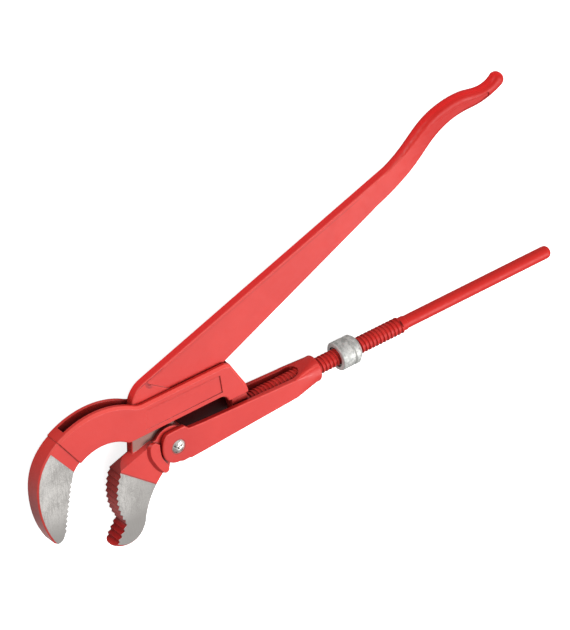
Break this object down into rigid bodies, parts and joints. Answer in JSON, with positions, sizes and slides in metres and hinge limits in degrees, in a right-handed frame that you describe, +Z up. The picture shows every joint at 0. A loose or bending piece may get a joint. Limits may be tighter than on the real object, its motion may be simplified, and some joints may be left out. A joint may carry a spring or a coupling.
{
  "type": "pipe wrench",
  "caption": "Corner pipe wrench with S-shaped toothed jaws: a hook jaw with a threaded spindle, a pivoting handle jaw, a forked frame and an adjusting nut.",
  "frame": {"origin": "bottom centre of the whole wrench lying flat, halfway along both sides of its outline", "axes": "+X along the spindle from the hook jaw to the tail, +Y towards the side of the long handle, +Z up, normal to the flat of the wrench"},
  "size_m": [0.5338, 0.279, 0.031],
  "materials": {
    "red_paint": "satin",
    "bright_steel": "polished",
    "zinc_plate": "satin"
  },
  "bodies": {
    "hook": {"hook_jaw": "red_paint"},
    "frame": {"frame": "red_paint", "pivot_rivet": "bright_steel"},
    "handle": {"handle": "red_paint"},
    "nut": {"adjusting_nut": "zinc_plate"}
  },
  "joints": [
    {"name": "frame_slide", "type": "slide", "parent": "hook", "child": "frame", "axis": [1, 0, 0], "range_m": [-0.043, 0.001]},
    {"name": "handle_pivot", "type": "hinge", "parent": "frame", "child": "handle", "pos_m": [-0.1271, -0.06092, 0.0155], "axis": [0, 0, 1], "range_deg": [-1.2, 10]},
    {"name": "nut_spin", "type": "hinge", "parent": "frame", "child": "nut", "pos_m": [0.0529, -0.06092, 0.0155], "axis": [1, 0, 0], "range_deg": [-4129, 97]}
  ],
  "couplings": [
    {"joint": "nut_spin", "follows": "frame_slide", "rad_per_m": 1675.5}
  ]
}
